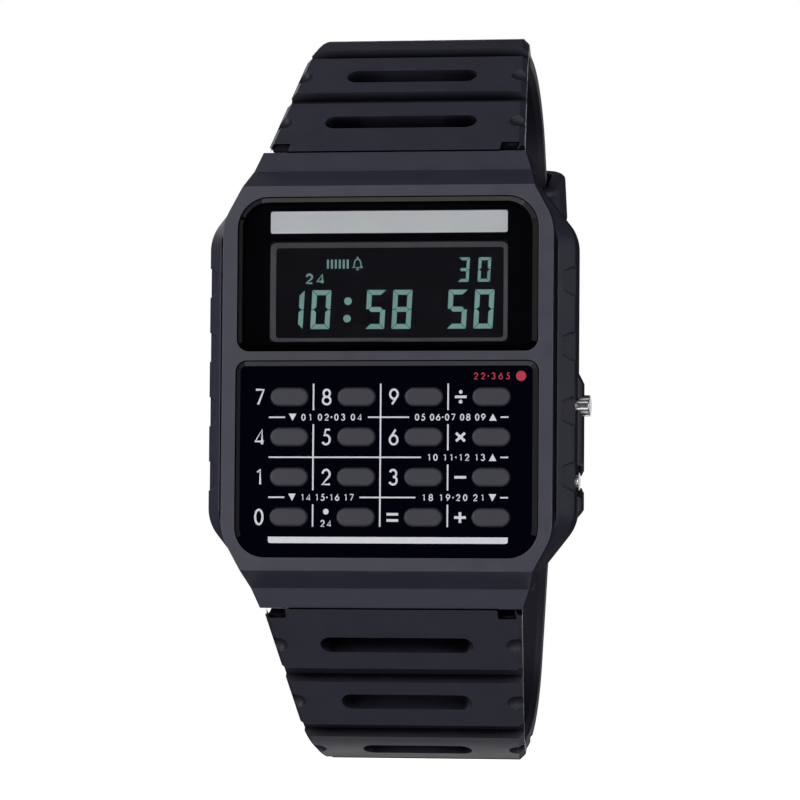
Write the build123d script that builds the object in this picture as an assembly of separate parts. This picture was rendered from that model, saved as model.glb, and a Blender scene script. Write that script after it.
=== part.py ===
"""Calculator watch on a resin strap, fastened as it is on a wrist.

X points to 3 o'clock, the side of the pushers. Z points to 12 o'clock. The dial looks along -Y and
the wrist is on the +Y side. The origin is the middle of the case back's outer face. Millimetres.
"""

from build123d import *
from math import atan2, cos, degrees, hypot, sin
import os

# Overall sizes of the case
case_length = 43.2
case_width = 34.9
case_thickness = 8.2
window_proud = 0.3
bezel_front = -(case_thickness - window_proud)
cut_over = 1.0

# Clearances between pieces
fit_gap = 0.05
seat_gap = 0.02
soft_gap = 0.3
running_gap = 0.05

# Plan outline of the case, from the lug end round the shoulder to the flank
flank_half_width = case_width / 2
lug_end = case_length / 2
lug_half_width = 12.55
shoulder_step, shoulder_height = 3.55, 18.1
shoulder_half_width = flank_half_width - shoulder_step
flank_drop = 4.5
flank_start = shoulder_height - flank_drop
flank_radius = 4.0

# Depth of each level of the flank behind the bezel face, and how far the outline draws in there
bevel_front_depth, bevel_front_inset = 0.75, 1.35
bevel_mid_depth, bevel_mid_inset = 2.0, 0.35
flank_front_depth = 2.5
flank_back_depth = 5.8
tuck_depth, tuck_inset = 7.5, 1.1

# Bezel plate
bezel_step = 1.7
bezel_half_width = flank_half_width - bezel_step
bezel_corner_drop = 3.35
bezel_corner_height = shoulder_height - bezel_corner_drop
bezel_corner_radius = 5.0
bezel_edge = 0.25
bezel_groove_width, bezel_groove_depth = 0.3, 1.05
bezel_groove_stop = 0.5
bezel_groove_reach = shoulder_height - bezel_groove_stop

# Stepped ends of the case, between the bezel face and the lug end
step_depth, step_back = 2.4, 1.85
step_height = lug_end - step_back
lug_front_depth = 3.2
lug_back_depth = 5.6
lug_tuck = 3.95
lug_tuck_height = lug_end - lug_tuck
rim_back = -0.4

# Side recesses, in a row down each flank
recess_count = 4
recess_pitch = 6.1
recess_long, recess_short = 2.75, 1.95
recess_front_depth = 1.43
recess_run, recess_flare_run = 2.0, 1.2
recess_deep = 1.11
recess_floor = flank_half_width - recess_deep
recess_rise_angle = 35.5

# Pusher guard on the right flank
guard_top, guard_top_full = 0.6, -0.35
guard_bottom_full, guard_bottom = -12.2, -12.8
guard_proud = 0.5
guard_half_width = flank_half_width + guard_proud
guard_front_depth, guard_back_depth = 3.7, 6.2
guard_edge = 0.25

# Window and keypad panels, let into the bezel
panel_gap = 0.08
panel_bevel = 0.47
panel_bevel_depth = 0.35
window_border, window_top, window_bottom = 1.4, 17.1, 2.5
window_width = 2 * (bezel_half_width - window_border)
window_top_radius, window_bottom_radius = 3.0, 1.2
window_back = -6.7
keypad_border, keypad_top, keypad_bottom = 1.3, 1.66, -16.9
keypad_width = 2 * (bezel_half_width - keypad_border)
keypad_top_radius, keypad_bottom_radius = 1.1, 2.9
keypad_back = -6.9
ledge_width = 0.4
front_wall_back = -6.3

# Module cavity
case_wall = 3.05
cavity_half_width, cavity_half_height = flank_half_width - case_wall, 16.0
cavity_corner = 3.9
module_gap = 0.1

# Keys
key_columns = 4
key_length, key_width = 3.67, 1.79
key_column_pitch, key_row_pitch = 6.4, 3.76
key_columns_middle = 0.45
key_top_row = -1.82
key_proud = 0.35
key_gap = 0.06
key_edge = 0.25
key_flange_rim = 0.3
key_flange_thickness = 0.4
key_stem_length = 0.85
key_stem_share = 0.6
key_travel = 0.5
key_names = [
    *("7", "8", "9", "divide"),
    *("4", "5", "6", "times"),
    *("1", "2", "3", "minus"),
    *("0", "point", "equals", "plus"),
]

# Display stack behind the window
dial_thickness = 0.2
lcd_half_width, lcd_top = 12.0, 13.75
lcd_bottom = window_bottom + ledge_width + 2 * fit_gap
lcd_front, lcd_back = -6.45, -5.05
lcd_glass_step = 0.9
view_half_width, view_top, view_bottom = 11.35, 12.9, 3.4
zebra_half_width = 11.4
board_front, board_thickness = -4.35, 0.6
board_back = board_front + board_thickness

# Key mat under the keypad
mat_rim = 1.3
mat_half_width, mat_top, mat_bottom = cavity_half_width - mat_rim, 0.9, -15.0
mat_front, mat_back = -4.85, -4.46
key_stem_back = keypad_back + seat_gap + key_flange_thickness + key_stem_length
mat_boss_front = key_stem_back + key_travel + fit_gap
mat_boss_rim = 0.2
mat_wall = 0.35
contact_sheet_thickness = 0.08

# Parts behind the board
frame_back = -1.15
battery_radius, battery_thickness = 10.0, 1.6
battery_middle = -5.0
battery_front = -3.1
battery_cap_radius, battery_cap_step = 8.6, 0.25
bay_half_width, bay_bottom, bay_top = 10.4, 5.3, 14.6
chip_side, chip_thickness = 6.0, 0.9
chip_x, chip_z = 6.6, 9.0
crystal_radius, crystal_length = 0.75, 6.0
crystal_x, crystal_z = -9.4, 13.2
clamp_width, clamp_thickness = 5.0, 0.2
clamp_foot, clamp_reach = 0.8, 2.5
clamp_length = 2 * (battery_radius + clamp_reach)
negative_contact_length, negative_contact_width, negative_contact_thickness = 7.0, 2.4, 0.15
negative_contact_rise = 0.45
buzzer_radius, buzzer_thickness = 5.4, 0.2
buzzer_middle = 9.5
coil_radius, coil_wire, coil_turns = 0.7, 0.13, 5
coil_x, coil_z = -3.0, 11.4

# Case back, its gasket and its screws
back_lap, back_lap_end = 0.6, 1.15
back_half_width, back_half_height = cavity_half_width + back_lap, cavity_half_height + back_lap_end
back_corner_radius = 2.6
back_thickness = 0.8
back_rim_edge = 0.25
gasket_wall, gasket_width, gasket_height = 0.15, 0.45, 0.55
screw_inset, screw_inset_end = 1.7, 1.75
screw_x, screw_z = back_half_width - screw_inset, back_half_height - screw_inset_end
screw_radius, screw_head_radius, screw_head_height = 0.43, 0.85, 0.35
screw_length = 3.4
screw_slot_length, screw_slot_width, screw_slot_depth = 1.1, 0.25, 0.15
screw_head_sink = 0.03

# Side pushers
pusher_depth = 4.6
pusher_y = bezel_front + pusher_depth
mode_z, adjust_z = -2.43, -9.55
dish_radius, dish_deep = 1.7, 0.55
dish_floor = guard_half_width - dish_deep
mode_proud, adjust_proud = 0.75, 0.3
mode_reach, adjust_reach = guard_half_width + mode_proud, dish_floor + adjust_proud
mode_head_radius, adjust_head_radius = 1.0, 0.9
pusher_travel = 0.6
pusher_stem_radius = 0.5
pusher_well_deep = 1.8
pusher_well_floor = guard_half_width - pusher_well_deep
pusher_spring_closed = 0.4
pusher_head_inner = pusher_well_floor + pusher_travel + pusher_spring_closed
pusher_bore_radius = 0.8
pusher_rim = 0.12
gasket_groove_radius = 0.42
ring_inset, ring_length = 0.7, 0.45
ring_start = cavity_half_width + ring_inset
ring_end = ring_start + ring_length
clip_thickness, clip_radius, clip_gap = 0.25, 0.95, 0.5
clip_start = cavity_half_width - module_gap - clip_thickness
stem_overhang = 0.5
stem_end = clip_start - stem_overhang
clip_groove_radius = 0.36
pusher_coil_wire, pusher_coil_turns = 0.06, 3
leaf_thickness, leaf_width, leaf_foot = 0.15, 1.2, 0.35
leaf_x = stem_end - pusher_travel - module_gap - fit_gap - leaf_thickness
bay_inner = leaf_x - leaf_foot
bay_half_height = 1.5
bay_front, bay_back = -4.9, -1.7

# Lug slots and the bars that carry the strap
slot_half_width = 10.3
slot_deep = 3.85
slot_floor = lug_end - slot_deep
slot_roof_depth = 3.2
bar_depth = 4.7
bar_y = bezel_front + bar_depth
bar_inset = 2.0
bar_z = lug_end - bar_inset
bar_radius, bar_half_length = 0.75, 10.15
tip_radius, tip_end, tip_inner = 0.4, 12.7, 7.0
tip_collar = 0.08
lug_hole_radius = 0.45

# Strap outline, seen from the side, as points on its outer face
strap_thickness = 2.2
strap_start_gap = 0.13
strap_start_y, strap_start_z = -4.75, lug_end + strap_start_gap
knee_y, knee_z = 12.5, 35.8
hip_y, hip_z = 28.5, 32.3
seat_y, seat_z = 37.2, 12.0
knee_radius, hip_radius, seat_radius = 14.0, 14.0, 22.0
lower_drop = 1.6

# Strap width, seen from the dial side
strap_lug_half_width = 12.45
strap_half_width = 9.5
strap_full_taper_y = 20.0
strap_side_edge = 0.55

# Strap end inside the lug slot
knuckle_radius = 1.35
neck_half_width = 10.15
case_clear_radius = 2.62
notch_outer = 11.85
notch_height, notch_deep = 0.95, 1.3
heel_length = 11.0

# Relief across the strap, repeated along its length
relief_pitch = 8.1
first_slot, first_groove = 4.95, 9.3
slot_length, slot_shrink, slot_width = 14.7, 2.0, 2.1
groove_width, groove_depth, groove_flare = 2.0, 0.9, 0.3
edge_cup_radius, edge_cup_lift = 1.0, 0.3

# Fastening behind the wrist
pin_y = seat_y - strap_thickness / 2
pin_z = 7.0
pin_radius, pin_half_length = 0.6, 10.6
end_knuckle_radius = 1.3
tail_lift = 2.7
ramp_bottom, ramp_top = -2.6, 0.9
ramp_radius = 3.0
tail_end = 24.0
tail_tip_radius = 6.0
hole_pitch, hole_length, hole_width = 5.5, 2.8, 2.3
holes_up, holes_down = 3, 4
frame_gap = 0.35
frame_arm = 1.6
frame_thickness = 1.8
far_bar_top, far_bar_bottom = -5.4, -7.8
frame_corner_radius = 1.2
ear_radius = 1.5
tongue_width, tongue_thickness = 2.0, 0.9
tongue_eye_radius = 1.05
tongue_overhang = 1.2
keeper_length, keeper_wall = 5.0, 1.35
keeper_gap, keeper_edge = 0.15, 0.5
keeper_from_hip = 11.0
keeper_corner_radius = 0.9


def polygon(*points):
    """Face through corner points, listed either way round."""
    area = sum(a[0] * b[1] - b[0] * a[1] for a, b in zip(points, points[1:] + points[:1]))
    return Polygon(*(points if area > 0 else points[::-1]), align=None)


def rounded(points, radii):
    """Closed face through points, with one radius for each corner."""
    return make_face(FilletPolyline(*points, radius=radii, close=True))


def offset_points(points, distance):
    """Points of a polyline moved sideways: the crossings of its shifted sides."""
    shifted = []
    for (y0, z0), (y1, z1) in zip(points, points[1:]):
        length = hypot(y1 - y0, z1 - z0)
        ny, nz = -(z1 - z0) / length * distance, (y1 - y0) / length * distance
        shifted.append(((y0 + ny, z0 + nz), (y1 + ny, z1 + nz)))
    moved = [shifted[0][0]]
    for (a, b), (c, d) in zip(shifted, shifted[1:]):
        aby, abz, cdy, cdz = b[0] - a[0], b[1] - a[1], d[0] - c[0], d[1] - c[1]
        along = ((c[0] - a[0]) * cdz - (c[1] - a[1]) * cdy) / (aby * cdz - abz * cdy)
        moved.append((a[0] + along * aby, a[1] + along * abz))
    return moved + [shifted[-1][1]]


def drawn_in(points, inset):
    """Corners of a clockwise outline with every side moved inwards."""
    looped = [points[-1]] + points + [points[0]]
    return offset_points(looped, -inset)[1:-1]


def symmetric(quarter, radii, inset=0):
    """Closed face from the points of its upper right quarter, listed from the top down."""
    right = quarter + [(x, -y) for x, y in reversed(quarter)]
    points = right + [(-x, y) for x, y in reversed(right)]
    side = [max(radius - inset, 0) for radius in radii]
    side = side + side[::-1]
    return rounded(drawn_in(points, inset), side + side)


def dial_plane(y):
    """Plane facing the dial side, at the given Y."""
    return Plane.XZ.offset(-y)


def slab(sketch, back, front):
    """Solid of an XZ sketch between two Y levels."""
    return extrude(dial_plane(back) * sketch, amount=back - front, dir=(0, -1, 0))


def bar(sketch, start, end):
    """Solid of a YZ sketch between two X levels."""
    return extrude(Plane.YZ.offset(start) * sketch, amount=end - start, dir=(1, 0, 0))


def rod(radius, start, end, y, z):
    """Round bar along X."""
    return bar(Pos(y, z) * Circle(radius), start, end)


def panel_outline(width, top, bottom, top_radius, bottom_radius, inset=0):
    """Face of a window panel, drawn in by inset all round."""
    half = width / 2 - inset
    right = [(half, top - inset), (half, bottom + inset)]
    points = right + [(-x, z) for x, z in reversed(right)]
    upper, lower = max(top_radius - inset, 0), max(bottom_radius - inset, 0)
    return rounded(points, [upper, lower, lower, upper])


def window_outline(inset=0):
    radii = (window_top_radius, window_bottom_radius)
    return panel_outline(window_width, window_top, window_bottom, *radii, inset)


def keypad_outline(inset=0):
    radii = (keypad_top_radius, keypad_bottom_radius)
    return panel_outline(keypad_width, keypad_top, keypad_bottom, *radii, inset)


def cavity_outline(inset=0):
    """Octagon of the module cavity, drawn in by inset."""
    quarter = [
        (cavity_half_width - cavity_corner, cavity_half_height),
        (cavity_half_width, cavity_half_height - cavity_corner),
    ]
    return symmetric(quarter, [0, 0], inset)


def stadium(length, width):
    return SlotOverall(length, width)


def key_places():
    """Name and place of each key, row by row from the top left."""
    first_x = key_columns_middle - key_column_pitch * (key_columns - 1) / 2
    for index, name in enumerate(key_names):
        row, column = divmod(index, key_columns)
        yield name, first_x + column * key_column_pitch, key_top_row - row * key_row_pitch


def case_plan(inset=0):
    quarter = [
        (lug_half_width, lug_end),
        (shoulder_half_width, shoulder_height),
        (flank_half_width, flank_start),
    ]
    return symmetric(quarter, [0, 0, flank_radius], inset)


def bezel_plan(inset=0):
    quarter = [
        (lug_half_width, lug_end),
        (shoulder_half_width, shoulder_height),
        (bezel_half_width, bezel_corner_height),
    ]
    return symmetric(quarter, [0, 0, bezel_corner_radius], inset)


def side_recess(side, z):
    """Cutter for one recess: narrow at the front, wide at the back, its floor running out at the side."""
    front = bezel_front + recess_front_depth
    middle, back = front + recess_flare_run, front + recess_run
    shape = polygon(
        (front, z - recess_short / 2),
        (middle, z - recess_long / 2),
        (back, z - recess_long / 2),
        (back, z + recess_long / 2),
        (middle, z + recess_long / 2),
        (front, z + recess_short / 2),
    )
    floor = Pos(recess_floor, front) * Rot(0, 0, -recess_rise_angle) * Pos(-recess_floor, -front)
    cutter = floor * bar(shape, recess_floor, recess_floor + 2 * cut_over)
    return cutter if side > 0 else mirror(cutter, Plane.YZ)


def pusher_guard():
    """Raised guard round the pushers, with a dish over the sunk one."""
    inner = flank_half_width - cut_over
    shape = polygon(
        (inner, guard_top + cut_over),
        (flank_half_width, guard_top),
        (guard_half_width, guard_top_full),
        (guard_half_width, guard_bottom_full),
        (flank_half_width, guard_bottom),
        (inner, guard_bottom - cut_over),
    )
    body = slab(shape, bezel_front + guard_back_depth, bezel_front + guard_front_depth)
    outer = body.edges().filter_by(Axis.Z).sort_by(Axis.X)[-2:]
    body = chamfer(outer, guard_edge)
    return body - rod(dish_radius, dish_floor, guard_half_width + cut_over, pusher_y, adjust_z)


def make_case():
    """Resin case with its bezel, stepped ends, lug slots, cavity, pockets and bores."""
    levels = [
        (tuck_depth, tuck_inset),
        (flank_back_depth, 0),
        (flank_front_depth, 0),
        (bevel_mid_depth, bevel_mid_inset),
        (bevel_front_depth, bevel_front_inset),
    ]
    faces = [dial_plane(bezel_front + depth) * case_plan(inset) for depth, inset in levels]
    body = loft(faces, ruled=True)

    bezel = bezel_plan()
    plate = slab(bezel, bezel_front + flank_front_depth, bezel_front + bezel_edge)
    edge_plane = dial_plane(bezel_front + bezel_edge)
    rim = loft([edge_plane * bezel, dial_plane(bezel_front) * bezel_plan(bezel_edge)])
    shoulder_box = Box(2 * case_width, case_thickness, 2 * shoulder_height)
    lug_tops = slab(bezel, bezel_front + bezel_edge, bezel_front) - shoulder_box
    body = body + plate + rim + lug_tops

    ring = bezel_plan(-bezel_groove_width) - bezel_plan()
    groove = slab(ring, bezel_front + bezel_groove_depth, bezel_front)
    groove = groove & Box(2 * case_width, 2 * case_thickness, 2 * bezel_groove_reach)
    body = body - groove

    end_quarter = [
        (bezel_front, shoulder_height),
        (bezel_front + step_depth, step_height),
        (bezel_front + lug_front_depth, lug_end),
        (bezel_front + lug_back_depth, lug_end),
        (rim_back, lug_tuck_height),
    ]
    profile = polygon(*end_quarter, *[(y, -z) for y, z in reversed(end_quarter)])
    body = body & bar(profile, -case_width, case_width)

    for side in (-1, 1):
        for index in range(recess_count):
            body = body - side_recess(side, (index - (recess_count - 1) / 2) * recess_pitch)
    body = body + pusher_guard()

    body = body - slab(cavity_outline(), cut_over, front_wall_back)
    for outline, back in ((window_outline, window_back), (keypad_outline, keypad_back)):
        body = body - slab(outline(), back, bezel_front - cut_over)
        body = body - slab(outline(ledge_width), front_wall_back + cut_over, bezel_front - cut_over)

    seat = slab(back_outline(-fit_gap), cut_over, -back_thickness)
    gasket_seat = slab(gasket_outline(), cut_over, -back_thickness - gasket_height)
    body = body - seat - gasket_seat
    for x, z in screw_places():
        hole = slab(Pos(x, z) * Circle(screw_radius + seat_gap), 0, -screw_length - seat_gap)
        body = body - hole

    for side in (-1, 1):
        corner = (Align.CENTER, Align.MIN, Align.MIN)
        slot = Box(2 * slot_half_width, case_thickness, case_length, align=corner)
        slot = Pos(0, bezel_front + slot_roof_depth, slot_floor) * slot
        slot = slot if side > 0 else mirror(slot, Plane.XY)
        body = body - slot - rod(lug_hole_radius, -case_width, case_width, bar_y, side * bar_z)

    for reach_z, head_radius in ((mode_z, mode_head_radius), (adjust_z, adjust_head_radius)):
        well = rod(head_radius + fit_gap, pusher_well_floor, case_width, pusher_y, reach_z)
        bore = rod(pusher_bore_radius, cavity_half_width - cut_over, case_width / 2, pusher_y, reach_z)
        body = body - well - bore
    return body


def make_panel(outline, back):
    """Panel with a bevelled front edge, standing proud of the bezel."""
    front = -case_thickness
    shelf = front + panel_bevel_depth
    lower = slab(outline(panel_gap), back - seat_gap, shelf)
    tops = [dial_plane(shelf) * outline(panel_gap), dial_plane(front) * outline(panel_gap + panel_bevel)]
    return lower + loft(tops)


def make_keypad_panel():
    panel = make_panel(keypad_outline, keypad_back)
    for _, x, z in key_places():
        hole = stadium(key_length + 2 * key_gap, key_width + 2 * key_gap)
        panel = panel - slab(Pos(x, z) * hole, 0, -case_thickness - cut_over)
    return panel


def key_front():
    return -case_thickness - key_proud


def make_key(x, z):
    """Key top with a rounded edge, a flange that holds it in and a stem for the mat."""
    flange_front = keypad_back + seat_gap
    flange_back = flange_front + key_flange_thickness
    top = slab(Pos(x, z) * stadium(key_length, key_width), flange_front, key_front())
    top = fillet(top.faces().sort_by(Axis.Y)[0].edges(), key_edge)
    rim = 2 * key_flange_rim
    flange = slab(Pos(x, z) * stadium(key_length + rim, key_width + rim), flange_back, flange_front)
    stem_shape = stadium(key_length * key_stem_share, key_width * key_stem_share)
    stem = slab(Pos(x, z) * stem_shape, key_stem_back, flange_back)
    return top + flange + stem


def mat_outline(grow=0):
    """Outline of the key mat, its lower corners cut to the cavity."""
    size = (2 * (mat_half_width + grow), mat_top - mat_bottom + 2 * grow)
    return Pos(0, (mat_top + mat_bottom) / 2) * Rectangle(*size) & cavity_outline(mat_wall - grow)


def make_key_mat():
    """Rubber sheet with one boss under each key."""
    mat = slab(mat_outline(), mat_back, mat_front)
    rim = 2 * mat_boss_rim
    for _, x, z in key_places():
        boss = stadium(key_length * key_stem_share + rim, key_width * key_stem_share + rim)
        mat = mat + slab(Pos(x, z) * boss, mat_front, mat_boss_front)
    return mat - pusher_bays()


def make_contact_sheet():
    back = board_front - seat_gap
    return slab(mat_outline(), back, back - contact_sheet_thickness) - pusher_bays()


def make_dial_plate():
    """Printed face plate behind the window, open over the display."""
    front = window_back
    plate = slab(window_outline(ledge_width + fit_gap), front + dial_thickness, front)
    view = Rectangle(2 * view_half_width, view_top - view_bottom)
    return plate - slab(Pos(0, (view_top + view_bottom) / 2) * view, 0, front - cut_over)


def make_lcd():
    """Two glass sheets as one piece, the rear one shorter so that its contacts lie bare."""
    height = lcd_top - lcd_bottom
    middle = (lcd_top + lcd_bottom) / 2
    split = (lcd_front + lcd_back) / 2
    front = slab(Pos(0, middle) * Rectangle(2 * lcd_half_width, height), split, lcd_front)
    rear_height = height - 2 * lcd_glass_step
    return front + slab(Pos(0, middle) * Rectangle(2 * lcd_half_width, rear_height), lcd_back, split)


def make_zebra():
    """Two rubber connector strips, from the bare glass edges down to the board."""
    front = (lcd_front + lcd_back) / 2 + seat_gap
    width = lcd_glass_step - fit_gap
    strips = []
    for z in (lcd_top - width / 2, lcd_bottom + width / 2):
        strips.append(slab(Pos(0, z) * Rectangle(2 * zebra_half_width, width), board_front - seat_gap, front))
    return Compound(children=strips)


def pusher_bays():
    """Room at the right edge of the module for the ends of the pushers."""
    bays = []
    for z in (mode_z, adjust_z):
        bay = Rectangle(cavity_half_width - bay_inner, 2 * bay_half_height, align=(Align.MIN, Align.CENTER))
        bays.append(slab(Pos(bay_inner, z) * bay, bay_back, bay_front))
    return Part() + bays


def make_lcd_holder():
    """Front half of the module frame: holds the display and surrounds the key mat."""
    body = slab(cavity_outline(module_gap), board_front - seat_gap, front_wall_back + seat_gap)
    middle = (lcd_top + lcd_bottom) / 2
    pocket = Rectangle(2 * (lcd_half_width + fit_gap), lcd_top - lcd_bottom + 2 * fit_gap)
    body = body - slab(Pos(0, middle) * pocket, 0, -case_thickness)
    return body - slab(mat_outline(fit_gap), 0, -case_thickness) - pusher_bays()


def make_board():
    return slab(cavity_outline(2 * module_gap), board_back, board_front) - pusher_bays()


def make_module_frame():
    """Rear half of the module frame: a pocket for the battery and a bay for the components."""
    body = slab(cavity_outline(module_gap), frame_back, board_back + seat_gap)
    body = body - slab(Pos(0, battery_middle) * Circle(battery_radius + 3 * fit_gap), 0, -case_thickness)
    bay = Pos(0, (bay_top + bay_bottom) / 2) * Rectangle(2 * bay_half_width, bay_top - bay_bottom)
    body = body - slab(bay, 0, -case_thickness)
    groove = Rectangle(clamp_width + 4 * fit_gap, clamp_length + 4 * fit_gap)
    clamp_front = battery_front + battery_thickness
    body = body - slab(Pos(0, battery_middle) * Rot(0, 0, 90) * groove, 0, clamp_front)
    return body - pusher_bays()


def make_chip():
    square = Pos(chip_x, chip_z) * Rectangle(chip_side, chip_side)
    body = slab(square, board_back + chip_thickness, board_back)
    return fillet(body.faces().sort_by(Axis.Y)[-1].edges(), chip_thickness / 2)


def make_crystal():
    can = rod(crystal_radius, crystal_x, crystal_x + crystal_length, board_back + crystal_radius, crystal_z)
    return fillet(can.edges().sort_by(Axis.X)[-1], crystal_radius / 3)


def make_battery():
    """Coin cell with its smaller negative cap towards the board."""
    back = battery_front + battery_thickness
    step = battery_front + battery_cap_step
    can = slab(Pos(0, battery_middle) * Circle(battery_radius), back, step)
    can = fillet(can.faces().sort_by(Axis.Y)[-1].edges(), battery_cap_step)
    return can + slab(Pos(0, battery_middle) * Circle(battery_cap_radius), step, battery_front)


def make_battery_clamp():
    """Steel strip across the battery, with a fixing hole at each end."""
    front = battery_front + battery_thickness + seat_gap
    outline = Pos(0, battery_middle) * Rectangle(clamp_length, clamp_width)
    strip = slab(outline, front + clamp_thickness, front)
    hole = Circle(clamp_foot / 2)
    for side in (-1, 1):
        x = side * (clamp_length / 2 - clamp_foot)
        strip = strip - slab(Pos(x, battery_middle) * hole, 0, -case_thickness)
    return strip


def make_negative_contact():
    """Leaf on the board, bent up to the battery's cap."""
    thick = negative_contact_thickness
    foot = -negative_contact_length / 2
    lift = negative_contact_length / 2
    base = board_back
    top = base + thick + negative_contact_rise
    side = polygon(
        (foot, base),
        (foot / 3, base),
        (lift, top - thick),
        (lift, top),
        (foot / 3, base + thick),
        (foot, base + thick),
    )
    plane = Plane.XY.offset(battery_middle - negative_contact_width / 2)
    return extrude(plane * side, amount=negative_contact_width)


def coil(radius, wire, turns, length):
    """Helical spring along +Z from the origin, as one unbroken wire."""
    path = Helix(pitch=length / turns, height=length, radius=radius)
    section = Plane(origin=path @ 0, z_dir=path % 0) * Circle(wire)
    return sweep(section, path)


def make_buzzer():
    front = -back_thickness - seat_gap - buzzer_thickness
    return slab(Pos(0, buzzer_middle) * Circle(buzzer_radius), front + buzzer_thickness, front)


def make_buzzer_spring():
    """Contact spring between the board and the buzzer disc."""
    start = board_back + coil_wire
    end = -back_thickness - seat_gap - buzzer_thickness - seat_gap - coil_wire
    spring = coil(coil_radius, coil_wire, coil_turns, end - start)
    return Pos(coil_x, start, coil_z) * Rot(-90, 0, 0) * spring


def make_side_contacts():
    """Leaf springs on the module that the pusher stems press."""
    leaves = []
    for z in (mode_z, adjust_z):
        foot = Rectangle(leaf_x - bay_inner, leaf_width, align=(Align.MIN, Align.CENTER))
        blade = Rectangle(leaf_thickness, leaf_width, align=(Align.MIN, Align.CENTER))
        leaf = slab(Pos(leaf_x, z) * blade, bay_back - fit_gap, bay_front + soft_gap)
        leaf = leaf + slab(Pos(bay_inner, z) * foot, bay_back - fit_gap, bay_back - fit_gap - leaf_thickness)
        leaves.append(leaf)
    return Compound(children=leaves)


def back_outline(inset=0):
    width, height = 2 * (back_half_width - inset), 2 * (back_half_height - inset)
    return RectangleRounded(width, height, back_corner_radius - inset)


def gasket_outline(inset=0):
    """Ring just outside the cavity."""
    return cavity_outline(-gasket_wall - gasket_width + inset) - cavity_outline(-gasket_wall - inset)


def screw_places():
    return [(sx * screw_x, sz * screw_z) for sx in (-1, 1) for sz in (-1, 1)]


def make_gasket():
    back, front = -back_thickness - seat_gap, -back_thickness - gasket_height + seat_gap
    return slab(gasket_outline(seat_gap), back, front)


def make_case_back():
    plate = slab(back_outline(), 0, -back_thickness)
    plate = chamfer(plate.faces().sort_by(Axis.Y)[-1].edges(), back_rim_edge)
    seat = -screw_head_height - screw_head_sink - seat_gap
    for x, z in screw_places():
        sink = slab(Pos(x, z) * Circle(screw_head_radius + fit_gap), 0, seat)
        through = slab(Pos(x, z) * Circle(screw_radius + fit_gap), 0, -case_thickness)
        plate = plate - sink - through
    return plate


def make_back_screws():
    screws = []
    for x, z in screw_places():
        head_back = -screw_head_sink
        head = slab(Pos(x, z) * Circle(screw_head_radius), head_back, head_back - screw_head_height)
        shank = slab(Pos(x, z) * Circle(screw_radius), head_back - screw_head_height, -screw_length)
        for turn in (0, 90):
            slot = Pos(x, z) * Rot(0, 0, turn) * Rectangle(screw_slot_length, screw_slot_width)
            head = head - slab(slot, 0, head_back - screw_slot_depth)
        screws.append(head + shank)
    return Compound(children=screws)


def make_pusher(z, reach, head_radius):
    """Turned steel pusher: head, stem, a groove for its ring and one for its clip."""
    head = rod(head_radius, pusher_head_inner, reach, pusher_y, z)
    head = fillet(head.edges().sort_by(Axis.X)[-1], pusher_rim)
    stem = rod(pusher_stem_radius, stem_end, pusher_head_inner, pusher_y, z)
    ring_groove = rod(pusher_bore_radius, ring_start, ring_end, pusher_y, z)
    ring_groove = ring_groove - rod(gasket_groove_radius, ring_start, ring_end, pusher_y, z)
    clip_end = clip_start + clip_thickness
    clip_groove = rod(pusher_bore_radius, clip_start - seat_gap, clip_end + seat_gap, pusher_y, z)
    clip_groove = clip_groove - rod(clip_groove_radius, stem_end, pusher_head_inner, pusher_y, z)
    return head + stem - ring_groove - clip_groove


def make_pusher_ring(z):
    start, end = ring_start + seat_gap, ring_end - seat_gap
    outer = rod(pusher_bore_radius - seat_gap, start, end, pusher_y, z)
    return outer - rod(gasket_groove_radius + seat_gap, start, end, pusher_y, z)


def make_pusher_clip(z):
    """Open spring clip in the groove at the stem's inner end."""
    end = clip_start + clip_thickness
    ring = rod(clip_radius, clip_start, end, pusher_y, z)
    ring = ring - rod(clip_groove_radius + seat_gap, clip_start, end, pusher_y, z)
    mouth = Pos(pusher_y, z - clip_radius / 2) * Rectangle(clip_gap, clip_radius)
    return ring - bar(mouth, clip_start, end)


def make_pusher_spring(z, radius):
    start = pusher_well_floor + pusher_coil_wire + seat_gap
    end = pusher_head_inner - pusher_coil_wire - seat_gap
    spring = coil(radius, pusher_coil_wire, pusher_coil_turns, end - start)
    return Pos(start, pusher_y, z) * Rot(0, 90, 0) * spring


def make_lug_bar(side):
    """Tube of a spring bar, its ends drawn in round the tips."""
    z = side * bar_z
    tube = rod(bar_radius, -bar_half_length, bar_half_length, bar_y, z)
    return tube - rod(tip_radius + seat_gap, -case_width, case_width, bar_y, z)


def make_lug_bar_tips():
    tips = []
    for side in (-1, 1):
        for end in (-1, 1):
            start, stop = sorted((end * tip_inner, end * tip_end))
            tips.append(rod(tip_radius, start, stop, bar_y, side * bar_z))
    return Compound(children=tips)


def make_lug_bar_springs():
    """Coil inside each bar, between its two tips."""
    springs = []
    for side in (-1, 1):
        length = 2 * (tip_inner - seat_gap - tip_collar)
        spring = coil(tip_radius - tip_collar, tip_collar - seat_gap, 2 * coil_turns, length)
        springs.append(Pos(-length / 2, bar_y, side * bar_z) * Rot(0, 90, 0) * spring)
    return Compound(children=springs)


def upper_path():
    """Outer face of the buckle half, seen from the side, from the lug to behind the pin."""
    return [
        (strap_start_y, strap_start_z),
        (knee_y, knee_z),
        (hip_y, hip_z),
        (seat_y, seat_z),
        (seat_y, pin_z),
    ]


upper_radii = [knee_radius, hip_radius, seat_radius]


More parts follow.
